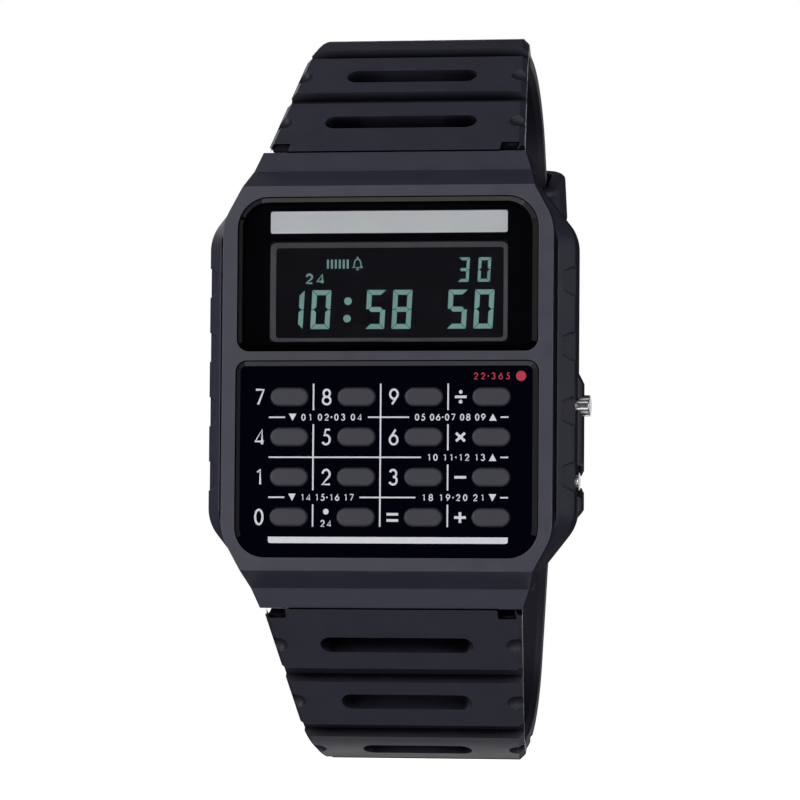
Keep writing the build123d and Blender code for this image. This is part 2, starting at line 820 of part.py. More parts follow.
def lower_path():
    """Outer face of the hole half as if it were above: Z is turned over when it is built."""
    hip_above, seat_above = offset_points(upper_path(), tail_lift)[2:4]
    share = (tail_end - seat_above[1]) / (hip_above[1] - seat_above[1])
    tail_y = seat_above[0] + share * (hip_above[0] - seat_above[0])
    return [
        (strap_start_y, strap_start_z),
        (knee_y, knee_z + lower_drop),
        (hip_y, hip_z + lower_drop),
        (seat_y, seat_z),
        (seat_y, -ramp_bottom),
        (seat_above[0], -ramp_top),
        (seat_above[0], -seat_above[1]),
        (tail_y, -tail_end),
    ]


lower_radii = [knee_radius, hip_radius, seat_radius, ramp_radius, ramp_radius, seat_radius + tail_lift]


def band(path, radii):
    """Side view of a strap of even thickness under the given outer path."""
    inner = offset_points(path, -strap_thickness)
    turns = []
    for (y0, z0), (y1, z1), (y2, z2), radius in zip(path, path[1:], path[2:], radii):
        cross = (y1 - y0) * (z2 - z1) - (z1 - z0) * (y2 - y1)
        turns.append(radius - strap_thickness if cross < 0 else radius + strap_thickness)
    points = path + inner[::-1]
    return rounded(points, [0] + radii + [0, 0] + turns[::-1] + [0])


def strap_frame(wire, along):
    """Plane on the outer face, its Z outwards and its Y along the strap."""
    place = wire.position_at(along, position_mode=PositionMode.LENGTH)
    heading = wire.tangent_at(along, position_mode=PositionMode.LENGTH)
    outwards = (0, -heading.Y, heading.X)
    return Plane(origin=(0, place.X, place.Y), x_dir=(-1, 0, 0), z_dir=outwards)


def taper(length_y):
    """Strap width from the lug to the rear, as a solid that trims the strap."""
    half = [
        (strap_lug_half_width, strap_start_y - 2 * cut_over),
        (strap_lug_half_width, strap_start_y),
        (strap_half_width, strap_full_taper_y),
        (strap_half_width, length_y),
    ]
    plan = polygon(*half, *[(-x, y) for x, y in reversed(half)])
    return extrude(plan, amount=case_length, both=True)


def groove_cutter(frame):
    """Shallow flat-bottomed groove across the strap."""
    wide, narrow = groove_width / 2 + groove_flare, groove_width / 2 - groove_flare
    half = [(wide, groove_depth), (narrow, -groove_depth)]
    section = polygon(*half, *[(-along, out) for along, out in reversed(half)])
    profile = Plane(origin=frame.origin - frame.x_dir * case_width, x_dir=frame.y_dir, z_dir=frame.x_dir)
    return extrude(profile * section, amount=2 * case_width)


def cup_cutter(frame, half_width):
    """Pair of round cups in the strap's edges."""
    cups = []
    for side in (-1, 1):
        place = Pos(side * (half_width - strap_side_edge), 0, edge_cup_lift)
        cups.append(frame * place * Sphere(edge_cup_radius))
    return cups


def strap_width_at(y):
    """Half width of the strap at a place behind the dial."""
    share = (y - strap_start_y) / (strap_full_taper_y - strap_start_y)
    share = min(max(share, 0), 1)
    return strap_lug_half_width + (strap_half_width - strap_lug_half_width) * share


def cut_relief(body, path, radii, groove_count, slot_count):
    """Slots, edge cups and grooves along a strap, counted from the lug."""
    wire = Wire(FilletPolyline(*path, radius=radii).edges())
    for index in range(slot_count):
        frame = strap_frame(wire, first_slot + index * relief_pitch)
        length = slot_length - index * slot_shrink
        body = body - frame * extrude(stadium(length, slot_width), amount=2 * strap_thickness, both=True)
        for cup in cup_cutter(frame, strap_width_at(frame.origin.Y)):
            body = body - cup
    for index in range(groove_count):
        body = body - groove_cutter(strap_frame(wire, first_groove + index * relief_pitch))
    return body


def start_angle(path):
    """Angle at which a strap leaves the lug, from the depth axis, in radians."""
    return atan2(path[1][1] - path[0][1], path[1][0] - path[0][0])


def heel(path):
    """Thick strap end round the lug bar, in the side view."""
    angle = start_angle(path)
    along_y, along_z = cos(angle), sin(angle)
    out_y, out_z = -along_z * knuckle_radius, along_y * knuckle_radius
    start = (path[0][0] + along_z * strap_side_edge, path[0][1] - along_y * strap_side_edge)
    far = (start[0] + along_y * heel_length, start[1] + along_z * heel_length)
    inner = strap_thickness - strap_side_edge
    inner_far = (far[0] + along_z * inner, far[1] - along_y * inner)
    shape = polygon(start, far, inner_far, (bar_y - out_y, bar_z - out_z), (bar_y + out_y, bar_z + out_z))
    return shape + Pos(bar_y, bar_z) * Circle(knuckle_radius)


def strap_lug_end(path):
    """Cutters that shape a strap's end to its slot and notches, clear of the case as it swings."""
    round_bar = Pos(bar_y, bar_z) * Circle(case_clear_radius)
    clear = round_bar - Pos(bar_y, bar_z) * Circle(knuckle_radius)
    half_plane = Rectangle(4 * case_clear_radius, 2 * case_clear_radius, align=(Align.CENTER, Align.MIN))
    turned = Pos(bar_y, bar_z) * Rot(0, 0, degrees(start_angle(path)))
    outer_only = turned * Pos(0, knuckle_radius) * half_plane
    middle = bar(clear & outer_only, -neck_half_width, neck_half_width)
    below = Rectangle(case_length, lug_end, align=(Align.CENTER, Align.MIN))
    cheek = bar(below + round_bar, neck_half_width, strap_lug_half_width + cut_over)
    notch = Rectangle(case_thickness, notch_height, align=(Align.MAX, Align.MIN))
    notch = bar(Pos(strap_start_y + notch_deep, lug_end) * notch, neck_half_width, notch_outer)
    sides = [cheek, notch, mirror(cheek, Plane.YZ), mirror(notch, Plane.YZ)]
    return [middle] + sides + [rod(bar_radius + running_gap, -case_width, case_width, bar_y, bar_z)]


def strap_blank(path, radii):
    """Strap with bevelled long edges and its thick lug end, before its relief is cut."""
    body = bar(band(path, radii), -case_width, case_width) & taper(2 * seat_y)
    edges = body.edges().filter_by(Axis.X, reverse=True)
    body = chamfer([edge for edge in edges if edge.length > strap_thickness + cut_over], strap_side_edge)
    body = body + (bar(heel(path), -case_width, case_width) & taper(2 * seat_y))
    for cutter in strap_lug_end(path):
        body = body - cutter
    return body


def make_strap_12():
    """Buckle half of the strap."""
    path = upper_path()
    body = strap_blank(path, upper_radii)
    body = body + rod(end_knuckle_radius, -strap_half_width, strap_half_width, pin_y, pin_z)
    body = cut_relief(body, path, upper_radii, groove_count=3, slot_count=2)
    body = body - rod(pin_radius + running_gap, -case_width, case_width, pin_y, pin_z)
    notch = Box(tongue_width + 4 * soft_gap, 4 * end_knuckle_radius, 2 * (end_knuckle_radius + soft_gap))
    return body - Pos(0, pin_y, pin_z) * notch


def tongue_rise():
    """How far the tongue runs outwards and down, from the pin to the far bar's upper edge."""
    lift = running_gap + tongue_thickness / 2
    return seat_y + soft_gap + frame_thickness + lift - pin_y, far_bar_top - pin_z


def tongue_blade(grow=0):
    """Flat blade of the tongue, or with grow the room that it needs in the strap."""
    rise_y, rise_z = tongue_rise()
    length = hypot(rise_y, rise_z) + far_bar_top - far_bar_bottom + tongue_overhang
    size = (length + grow, tongue_width + 2 * grow, tongue_thickness + 2 * grow)
    blade = Box(*size, align=(Align.MIN, Align.CENTER, Align.CENTER))
    return Plane(origin=(0, pin_y, pin_z), x_dir=(0, rise_y, rise_z), z_dir=(0, -rise_z, rise_y)) * blade


def make_strap_6():
    """Hole half of the strap, its tail lifted over the pin and lying on the buckle half."""
    path = lower_path()
    body = cut_relief(strap_blank(path, lower_radii), path, lower_radii, groove_count=4, slot_count=3)
    body = mirror(body, Plane.XY)

    wire = Wire(FilletPolyline(*path, radius=lower_radii).edges())
    ramp_share = ramp_bottom / (ramp_bottom - ramp_top)
    used_y = seat_y + ramp_share * tail_lift
    used = wire.param_at_point((used_y, 0)) * wire.length
    for index in range(-holes_down, holes_up + 1):
        hole = extrude(stadium(hole_length, hole_width), amount=2 * strap_thickness, both=True)
        if index:
            body = body - mirror(strap_frame(wire, used + index * hole_pitch) * hole, Plane.XY)
    return body - tongue_blade(soft_gap) - tail_tip()


def tail_tip():
    """Cutter that rounds the two corners of the tail."""
    zone = Rectangle(2 * case_width, 2 * tail_tip_radius, align=(Align.CENTER, Align.MIN))
    tail = RectangleRounded(2 * strap_half_width, 4 * tail_tip_radius, tail_tip_radius)
    corners = Pos(0, tail_end - tail_tip_radius) * zone - Pos(0, tail_end - 2 * tail_tip_radius) * tail
    return slab(corners, 2 * seat_y, 0)


def make_keeper():
    """Loop that slides along both layers of the strap."""
    heading_y, heading_z = seat_y - hip_y, seat_z - hip_z
    length = hypot(heading_y, heading_z)
    along = keeper_from_hip / length
    place = (0, hip_y + heading_y * along, hip_z + heading_z * along)
    frame = Plane(origin=place, x_dir=(1, 0, 0), z_dir=(0, heading_y, heading_z))
    inside = -strap_thickness - soft_gap
    outside = tail_lift + soft_gap
    height = outside - inside
    half = strap_half_width + keeper_gap
    width = 2 * (half + keeper_wall)
    outer = RectangleRounded(width, height + 2 * keeper_wall, keeper_corner_radius + keeper_wall)
    middle = Pos(0, -(outside + inside) / 2)
    block = extrude(middle * outer, amount=keeper_length)
    block = fillet(block.edges().group_by(Axis.Z)[0] + block.edges().group_by(Axis.Z)[-1], keeper_edge)
    hole = extrude(middle * RectangleRounded(2 * half, height, keeper_corner_radius), amount=keeper_length)
    return frame * (block - hole)


def make_buckle_frame():
    """Resin frame: two arms on the pin and a far bar over the strap."""
    inner = strap_half_width + frame_gap
    outer = inner + frame_arm
    bar_inner = seat_y + soft_gap
    arm = polygon(
        (pin_y - ear_radius, pin_z),
        (bar_inner, far_bar_bottom),
        (bar_inner + frame_thickness, far_bar_bottom),
        (bar_inner + frame_thickness, pin_z),
    )
    arm = arm + Pos(pin_y, pin_z) * Circle(ear_radius)
    frame = bar(arm, inner, outer) + bar(arm, -outer, -inner)
    cross = polygon(
        (bar_inner, far_bar_top),
        (bar_inner, far_bar_bottom),
        (bar_inner + frame_thickness, far_bar_bottom),
        (bar_inner + frame_thickness, far_bar_top),
    )
    frame = frame + bar(cross, -outer, outer)
    frame = frame - rod(pin_radius + running_gap, -case_width, case_width, pin_y, pin_z)
    corners = frame.edges().filter_by(Axis.Y).group_by(Axis.Z)[0]
    return fillet(corners, frame_corner_radius)


def make_buckle_tongue():
    eye = rod(tongue_eye_radius, -tongue_width / 2, tongue_width / 2, pin_y, pin_z)
    body = tongue_blade() + eye
    return body - rod(pin_radius + running_gap, -case_width, case_width, pin_y, pin_z)


def make_buckle_pin():
    return rod(pin_radius, -pin_half_length, pin_half_length, pin_y, pin_z)


def make_parts():
    """Every piece by name."""
    parts = {
        "case": make_case(),
        "display_window": make_panel(window_outline, window_back),
        "dial_plate": make_dial_plate(),
        "keypad_panel": make_keypad_panel(),
        "key_mat": make_key_mat(),
        "key_contact_sheet": make_contact_sheet(),
        "lcd_panel": make_lcd(),
        "zebra_connectors": make_zebra(),
        "lcd_holder": make_lcd_holder(),
        "circuit_board": make_board(),
        "controller_chip": make_chip(),
        "quartz_crystal": make_crystal(),
        "module_frame": make_module_frame(),
        "battery": make_battery(),
        "battery_clamp": make_battery_clamp(),
        "battery_contact": make_negative_contact(),
        "buzzer_disc": make_buzzer(),
        "buzzer_spring": make_buzzer_spring(),
        "side_contacts": make_side_contacts(),
        "back_gasket": make_gasket(),
        "case_back": make_case_back(),
        "back_screws": make_back_screws(),
        "mode_pusher": make_pusher(mode_z, mode_reach, mode_head_radius),
        "mode_pusher_ring": make_pusher_ring(mode_z),
        "mode_pusher_clip": make_pusher_clip(mode_z),
        "mode_pusher_spring": make_pusher_spring(mode_z, (mode_head_radius + pusher_stem_radius) / 2),
        "adjust_pusher": make_pusher(adjust_z, adjust_reach, adjust_head_radius),
        "adjust_pusher_ring": make_pusher_ring(adjust_z),
        "adjust_pusher_clip": make_pusher_clip(adjust_z),
        "adjust_pusher_spring": make_pusher_spring(adjust_z, (adjust_head_radius + pusher_stem_radius) / 2),
        "lug_bar_12": make_lug_bar(1),
        "lug_bar_6": make_lug_bar(-1),
        "lug_bar_tips": make_lug_bar_tips(),
        "lug_bar_springs": make_lug_bar_springs(),
        "strap_12": make_strap_12(),
        "strap_6": make_strap_6(),
        "keeper": make_keeper(),
        "buckle_frame": make_buckle_frame(),
        "buckle_pin": make_buckle_pin(),
        "buckle_tongue": make_buckle_tongue(),
    }
    for name, x, z in key_places():
        parts["key_" + name] = make_key(x, z)
    return parts


os.makedirs("parts", exist_ok=True)
for node, shape in make_parts().items():
    export_step(shape, "parts/" + node + ".step")
    print(node, round(shape.volume, 3))
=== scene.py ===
"""A calculator watch: its finishes, its printing and display, the light and the camera."""

import math

import bmesh
import bpy
from mathutils import Matrix, Vector


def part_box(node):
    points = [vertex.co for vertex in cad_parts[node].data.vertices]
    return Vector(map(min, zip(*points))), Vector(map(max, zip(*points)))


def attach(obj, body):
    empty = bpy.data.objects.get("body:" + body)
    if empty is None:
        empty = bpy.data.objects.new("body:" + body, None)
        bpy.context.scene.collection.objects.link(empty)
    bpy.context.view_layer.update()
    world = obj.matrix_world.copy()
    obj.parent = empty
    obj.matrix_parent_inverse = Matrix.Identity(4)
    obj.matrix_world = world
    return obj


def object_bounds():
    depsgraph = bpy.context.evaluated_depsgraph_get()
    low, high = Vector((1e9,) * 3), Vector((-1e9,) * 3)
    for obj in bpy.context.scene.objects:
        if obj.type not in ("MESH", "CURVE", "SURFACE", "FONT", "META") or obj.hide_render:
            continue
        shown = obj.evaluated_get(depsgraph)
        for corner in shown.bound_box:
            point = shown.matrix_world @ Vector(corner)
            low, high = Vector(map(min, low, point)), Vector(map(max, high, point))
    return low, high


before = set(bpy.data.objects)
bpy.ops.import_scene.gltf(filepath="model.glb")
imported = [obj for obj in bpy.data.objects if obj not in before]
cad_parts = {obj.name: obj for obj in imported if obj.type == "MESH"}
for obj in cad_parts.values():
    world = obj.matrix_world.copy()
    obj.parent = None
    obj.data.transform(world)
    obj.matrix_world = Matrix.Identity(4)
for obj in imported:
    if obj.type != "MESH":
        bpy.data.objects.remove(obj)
cad_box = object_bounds()

MM = 0.001

# The face looks along -Y, so a node's front is its lowest Y. In metres, from the frame.
plate_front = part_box("dial_plate")[0].y
lcd_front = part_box("lcd_panel")[0].y
panel_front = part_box("keypad_panel")[0].y

# Camera: the place that the photograph was taken from
AIM = Vector((1.36, -8.2, -2.11)) * MM
DISTANCE = 450 * MM
AZIMUTH = math.radians(9.68)
ELEVATION = math.radians(-2.86)
ROLL = math.radians(0.42)
SENSOR = 36
LENS = 216.3

# Studio
FLOOR_DROP = 16 * MM
FLOOR_RADIUS = 4.0
FLOOR_CORNERS = 64
PAPER = (0.9, 0.9, 0.9, 1)
WHITE = (1, 1, 1, 1)
WORLD_GLOW = 0.01

# Soft boxes: name, azimuth and elevation in degrees, distance, width and height in metres, watts,
# and the only nodes that the box lights, where it doesn't light them all.
# Azimuth 0 is in front of the face, 90 on its right and 180 behind the wrist.
STRAP = ("strap_6", "strap_12", "buckle_frame", "buckle_tongue", "buckle_pin")
PANELS = ("display_window", "keypad_panel")
PUSHERS = ("mode_pusher", "adjust_pusher")
BACK = ("case_back", "back_screws")
LAMPS = (
    ("left_box", -37, 5, 0.9, 0.30, 0.5, 4.0, ()),
    ("right_box", 24, 0, 0.9, 0.28, 0.5, 2.5, ()),
    ("top_box", -4, 36, 0.9, 0.6, 0.12, 0.35, ()),
    ("low_box", 0, -34, 0.9, 0.6, 0.12, 0.6, ()),
    ("side_box", 95, 3, 0.9, 0.15, 0.5, 0.35, ("case", "keeper", *PUSHERS)),
    ("back_high_left_box", 228, 35, 0.95, 0.5, 0.5, 1.6, ()),
    ("rear_box", 190, 5, 0.95, 0.3, 0.4, 2.6, STRAP),
    ("rear_side_box", 152, 4, 0.95, 0.2, 0.4, 0.4, STRAP),
    ("strap_side_box", 70, 3, 0.95, 0.2, 0.5, 1.6, STRAP),
    ("keeper_box", 222, 8, 0.95, 0.5, 0.5, 4.0, ("keeper",)),
    ("keeper_front_box", 42, 2, 0.9, 0.3, 0.4, 1.8, ("keeper",)),
    ("back_low_box", 178, -42, 0.95, 0.7, 0.4, 1.2, ()),
    ("panel_side_strip", 64, 2, 0.9, 0.25, 0.6, 0.18, PANELS),
    ("panel_corner_box", 66, 43, 0.9, 0.7, 0.7, 0.85, PANELS),
    ("panel_top_strip", 0, 76, 0.9, 0.8, 0.3, 0.75, PANELS),
    ("panel_left_corner_box", -76, 46, 0.9, 0.8, 0.7, 0.5, PANELS),
    ("panel_left_strip", -84, 2, 0.9, 0.25, 0.6, 0.1, PANELS),
    ("steel_top_box", -9, 80, 0.9, 0.5, 0.4, 0.7, PUSHERS),
    ("steel_low_box", -9, -80, 0.9, 0.5, 0.4, 0.7, PUSHERS),
    ("steel_back_box", 170, 4, 0.9, 0.5, 0.5, 0.6, PUSHERS),
    ("back_right_box", 146, -4, 0.9, 0.5, 0.5, 0.3, BACK),
    ("back_left_box", 215, -10, 0.9, 0.5, 0.5, 0.5, BACK),
)

# Finishes
DRIFT_GAIN = 1.25                        # how much lighter a colour drifts over its patches
EDGE_HIGHLIGHT_GAIN, EDGE_HIGHLIGHT_LIFT = 2.6, 0.02     # painted edge highlight's colour, from the finish's own
EDGE_HIGHLIGHT_STARTS, EDGE_HIGHLIGHT_FULL = 0.995, 0.955      # cosine of the turn between an eased edge and its face
PAINTED_SHADE_FULL, PAINTED_SHADE_ENDS = 0.5, 1.0      # how open a place is where the painted shade is darkest and where it ends
PAINTED_SHADE_SHARE = 0.04                      # the share of its colour that the painted shade keeps
# reflection strength under the painted shade and in the open
PAINTED_SHADE_SHEEN, UNSHADED_SHEEN = 0.02, 0.5
LOOP_MIDDLE = (0, 17 * MM, 0)            # the middle of the strap's loop
# Painted shade inside the strap's loop, on the faces that turn towards its middle
INNER_SHADE = (0.010, 0.010, 0.018, 1)
INNER_SHADE_STARTS, INNER_SHADE_FULL = 0.35, 0.6   # cosine between a strap's face and the way to the middle
BEVEL_PAINT = (0.0012, 0.0012, 0.004, 1)
CLEAR_FROM = 0.9                         # share of the window's normal along Y, where it is clear
ACRYLIC_IOR = 1.49
BRUSHED = (1, 1, 0.02)

# Printing on the keypad panel
INK_PROUD = 0.012 * MM
LINE_WIDTH = 0.16 * MM
FIGURE_HIGH = 1.38 * MM
FIGURE_WIDE = 0.80 * MM
FIGURE_STROKE = 0.22 * MM
FIGURE_GAP = 1.03 * MM
SIGN_HIGH = 1.0 * MM
SIGN_WIDE = 1.12 * MM
SIGN_STROKE = 0.27 * MM
SIGN_GAP = 1.1 * MM
POINT_ABOVE = 0.52 * MM
POINT_RADIUS = 0.27 * MM
POINT_NUMBER_BELOW = 0.86 * MM
POINT_NUMBER_WIDE = 1.24 * MM
SMALL_HIGH = 0.55 * MM
SMALL_WIDE = 0.35 * MM
SMALL_STROKE = 0.12 * MM
SMALL_SPACE_SHARE = 0.45
SMALL_DOT = 0.08 * MM
MARK_WIDE = 0.72 * MM
MARK_HIGH = 0.68 * MM
MARK_GAP = 0.36 * MM
RIGHT_NUMBER_GAP = 0.7 * MARK_GAP
LINE_GAP = 1.3 * MARK_GAP
LINES_PAST_LEFT_KEY = 0.15 * MM
LINES_SHORT_OF_RIGHT_KEY = 0.25 * MM
LINES_BELOW_MIDDLE = 0.02 * MM
LEFT_STUB = 1.55 * MM
RIGHT_STUB = 0.75 * MM
UPRIGHT_GAP = 0.44 * MM
UPRIGHT_RISE = 0.35 * MM
UPRIGHT_BREAK = 0.66 * MM
BAR_HIGH = 0.60 * MM
BAR_BELOW_KEYS = 0.95 * MM
BAR_CORNER = 0.22 * MM
RED_DOT = 0.48 * MM
RED_DOT_ABOVE = 1.95 * MM
RED_DOT_RIGHT = 2.75 * MM
RED_NUMBERS_LEFT = 4.6 * MM
RED_NUMBERS_WIDE = 3.7 * MM
KEY_ROWS = (("7", "8", "9", "divide"), ("4", "5", "6", "times"), ("1", "2", "3", "minus"),
            ("0", "point", "equals", "plus"))
KEY_HALF_WIDE = 1.835 * MM
KEY_HALF_HIGH = 0.895 * MM
# Small numbers on each ruled line: the text, its width and whether its pointer looks up, on the
# left and then on the right
LABELS = (
    ("01 02.03 04", 6.0 * MM, False, "05 06.07 08 09", 6.85 * MM, True),
    ("", 0, False, "10 11.12 13", 5.7 * MM, True),
    ("14 15.16 17", 5.25 * MM, False, "18 19.20 21", 6.2 * MM, False),
)
# Which of those lines carry a label that breaks each upright; the middle upright runs through
CROSSINGS = ((0, 2), (), (0, 1, 2))

# Dial plate: the low and high corner of each outline, and the radius of its corners
FRAME_OUTER = [v * MM for v in (-11.3, 3.46, 11.3, 12.8, 0.55)]
FRAME_INNER = [v * MM for v in (-10.8, 3.8, 10.92, 12.32, 0.3)]
FRAME_INNER_PROUD = 0.08 * MM
STRIPE = [v * MM for v in (-11.3, 13.68, 11.3, 15.76, 0.2)]
STRIPE_PROUD = 0.01 * MM
CORNER_STEPS = 6

# Display: figures with their left edges, and other marks, in millimetres from the face's middle
SEGMENT_PROUD = 0.02 * MM
SLANT = math.tan(math.radians(3))
BIG = dict(wide=1.82 * MM, high=3.67 * MM, thick=0.46 * MM, gap=0.035 * MM)
SMALL = dict(high=2.31 * MM, thick=0.28 * MM, gap=0.03 * MM)
TIME_BASE = 4.65 * MM
TIME_FIGURES = (("1", -10.05), ("0", -7.49), ("5", -2.24), ("8", 0.26))
COLON_DOTS = ((-3.89, 2.63), (-3.97, 0.98))
COLON_DOT = 0.36 * MM
SECOND_FIGURES = (("5", 5.53), ("0", 8.05))
DATE_BASE = 9.04 * MM
DATE_FIGURES = (("3", 6.54, 1.05), ("0", 8.43, 1.18))
BARS, BARS_LEFT, BARS_PITCH = 6, -5.94, 0.38
BARS_LOW, BARS_HIGH, BARS_WIDE, BARS_CORNER = 10.34 * MM, 11.22 * MM, 0.2 * MM, 0.08 * MM
HALF_DAY_FIGURES = (("2", -7.92), ("4", -6.86))
HALF_DAY_BASE, HALF_DAY_WIDE, HALF_DAY_HIGH = 8.99 * MM, 0.62 * MM, 0.82 * MM
HALF_DAY_STROKE = 0.21 * MM
BELL_X, BELL_Z = -3.0 * MM, 10.18 * MM
BELL_HALF = ((0.47, 0.27), (0.33, 0.42), (0.30, 0.76), (0.17, 1.0), (0, 1.08))
BELL_STROKE = 0.13 * MM
BELL_ENDS = ((0.1, 0.11), (1.2, 0.09))


def node_of(tree, kind, **values):
    """A new shader node, with attributes and input values set by name."""
    node = tree.nodes.new(kind)
    for name, value in values.items():
        if hasattr(node, name):
            setattr(node, name, value)
        else:
            node.inputs[name.replace("_", " ")].default_value = value
    return node


def finish(name, colour, roughness, *, other=None, spread=0.08, patch=2.5 * MM, grain=0.08 * MM,
           relief=0.002 * MM, stretch=(1, 1, 1), edge=0.05 * MM, edge_highlight=0.0, painted_shade_reach=0.0, **sockets):
    """A principled material. Its colour and roughness drift over patches and a grain stands in
    relief. Edges are eased over a radius and may get a painted highlight, a lighter colour, and
    hollows may get painted shade, a darker colour and a weaker reflection."""
    mat = bpy.data.materials.new(name)
    mat.use_nodes = True
    tree = mat.node_tree
    shader = tree.nodes["Principled BSDF"]
    for socket, value in sockets.items():
        shader.inputs[socket.replace("_", " ")].default_value = value
    place = node_of(tree, "ShaderNodeTexCoord")
    scale = node_of(tree, "ShaderNodeMapping", Scale=stretch)
    tree.links.new(place.outputs["Object"], scale.inputs["Vector"])

    drift = node_of(tree, "ShaderNodeTexNoise", Scale=1 / patch, Detail=3.0, Roughness=0.55)
    tree.links.new(scale.outputs["Vector"], drift.inputs["Vector"])
    shade = node_of(tree, "ShaderNodeMix", data_type="RGBA")
    shade.inputs["A"].default_value = (*colour, 1)
    shade.inputs["B"].default_value = (*(other or [min(1, c * DRIFT_GAIN) for c in colour]), 1)
    tree.links.new(drift.outputs["Fac"], shade.inputs["Factor"])
    rough = node_of(tree, "ShaderNodeMapRange",
                    To_Min=roughness - spread, To_Max=roughness + spread)
    tree.links.new(drift.outputs["Fac"], rough.inputs["Value"])
    tree.links.new(rough.outputs["Result"], shader.inputs["Roughness"])

    speckle = node_of(tree, "ShaderNodeTexNoise", Scale=1 / grain, Detail=2.0)
    tree.links.new(scale.outputs["Vector"], speckle.inputs["Vector"])
    bump = node_of(tree, "ShaderNodeBump", Strength=1.0, Distance=relief)
    tree.links.new(speckle.outputs["Fac"], bump.inputs["Height"])
    tree.links.new(bump.outputs["Normal"], shader.inputs["Normal"])
    colour_out = shade.outputs["Result"]
    if edge:
        eased = node_of(tree, "ShaderNodeBevel", samples=4, Radius=edge)
        tree.links.new(eased.outputs["Normal"], bump.inputs["Normal"])
        # Painted highlight: a lighter colour where the eased normal turns from the face, along
        # every edge
        if edge_highlight:
            flat = node_of(tree, "ShaderNodeNewGeometry")
            facing = node_of(tree, "ShaderNodeVectorMath", operation="DOT_PRODUCT")
            tree.links.new(eased.outputs["Normal"], facing.inputs[0])
            tree.links.new(flat.outputs["Normal"], facing.inputs[1])
            edge_highlight_amount = node_of(tree, "ShaderNodeMapRange",
                             From_Min=EDGE_HIGHLIGHT_STARTS, From_Max=EDGE_HIGHLIGHT_FULL, To_Min=0.0, To_Max=edge_highlight)
            tree.links.new(facing.outputs["Value"], edge_highlight_amount.inputs["Value"])
            edge_highlight_mix = node_of(tree, "ShaderNodeMix", data_type="RGBA")
            tree.links.new(edge_highlight_amount.outputs["Result"], edge_highlight_mix.inputs["Factor"])
            tree.links.new(shade.outputs["Result"], edge_highlight_mix.inputs["A"])
            edge_highlight_mix.inputs["B"].default_value = (
                *[min(1, c * EDGE_HIGHLIGHT_GAIN + EDGE_HIGHLIGHT_LIFT) for c in colour], 1)
            colour_out = edge_highlight_mix.outputs["Result"]
    # Painted shade: ambient occlusion darkens the colour and weakens the reflection in hollows and
    # recesses
    if painted_shade_reach:
        shelter = node_of(tree, "ShaderNodeAmbientOcclusion", samples=8, Distance=painted_shade_reach)
        depth = node_of(tree, "ShaderNodeMapRange", From_Min=PAINTED_SHADE_FULL, From_Max=PAINTED_SHADE_ENDS)
        tree.links.new(shelter.outputs["AO"], depth.inputs["Value"])
        painted_shade_mix = node_of(tree, "ShaderNodeMix", data_type="RGBA")
        painted_shade_mix.inputs["A"].default_value = (*[c * PAINTED_SHADE_SHARE for c in colour], 1)
        tree.links.new(depth.outputs["Result"], painted_shade_mix.inputs["Factor"])
        tree.links.new(colour_out, painted_shade_mix.inputs["B"])
        colour_out = painted_shade_mix.outputs["Result"]
        painted_shade_sheen = node_of(tree, "ShaderNodeMapRange", From_Min=PAINTED_SHADE_FULL, From_Max=PAINTED_SHADE_ENDS,
                        To_Min=PAINTED_SHADE_SHEEN, To_Max=UNSHADED_SHEEN)
        tree.links.new(shelter.outputs["AO"], painted_shade_sheen.inputs["Value"])
        tree.links.new(painted_shade_sheen.outputs["Result"], shader.inputs["Specular IOR Level"])
    tree.links.new(colour_out, shader.inputs["Base Color"])
    return mat


def strap_finish():
    """Soft resin, darker on the faces that turn towards the loop's middle: painted shade."""
    mat = finish("strap_resin", (0.035, 0.0355, 0.054), 0.47, edge_highlight=0.25, grain=0.09 * MM,
                 relief=0.002 * MM, painted_shade_reach=3.6 * MM)
    tree = mat.node_tree
    shader = tree.nodes["Principled BSDF"]
    shape = node_of(tree, "ShaderNodeNewGeometry")
    place = node_of(tree, "ShaderNodeTexCoord")
    inwards = node_of(tree, "ShaderNodeVectorMath", operation="SUBTRACT")
    inwards.inputs[0].default_value = LOOP_MIDDLE
    tree.links.new(place.outputs["Object"], inwards.inputs[1])
    across = node_of(tree, "ShaderNodeVectorMath", operation="MULTIPLY")
    across.inputs[1].default_value = (0, 1, 1)
    tree.links.new(inwards.outputs["Vector"], across.inputs[0])
    towards = node_of(tree, "ShaderNodeVectorMath", operation="NORMALIZE")
    tree.links.new(across.outputs["Vector"], towards.inputs[0])
    facing = node_of(tree, "ShaderNodeVectorMath", operation="DOT_PRODUCT")
    tree.links.new(shape.outputs["True Normal"], facing.inputs[0])
    tree.links.new(towards.outputs["Vector"], facing.inputs[1])
    inner_shade_amount = node_of(tree, "ShaderNodeMapRange", From_Min=INNER_SHADE_STARTS, From_Max=INNER_SHADE_FULL)
    tree.links.new(facing.outputs["Value"], inner_shade_amount.inputs["Value"])
    inner_shade_mix = node_of(tree, "ShaderNodeMix", data_type="RGBA")
    inner_shade_mix.inputs["B"].default_value = INNER_SHADE
    tree.links.new(inner_shade_amount.outputs["Result"], inner_shade_mix.inputs["Factor"])
    tree.links.new(shader.inputs["Base Color"].links[0].from_socket, inner_shade_mix.inputs["A"])
    tree.links.new(inner_shade_mix.outputs["Result"], shader.inputs["Base Color"])
    return mat


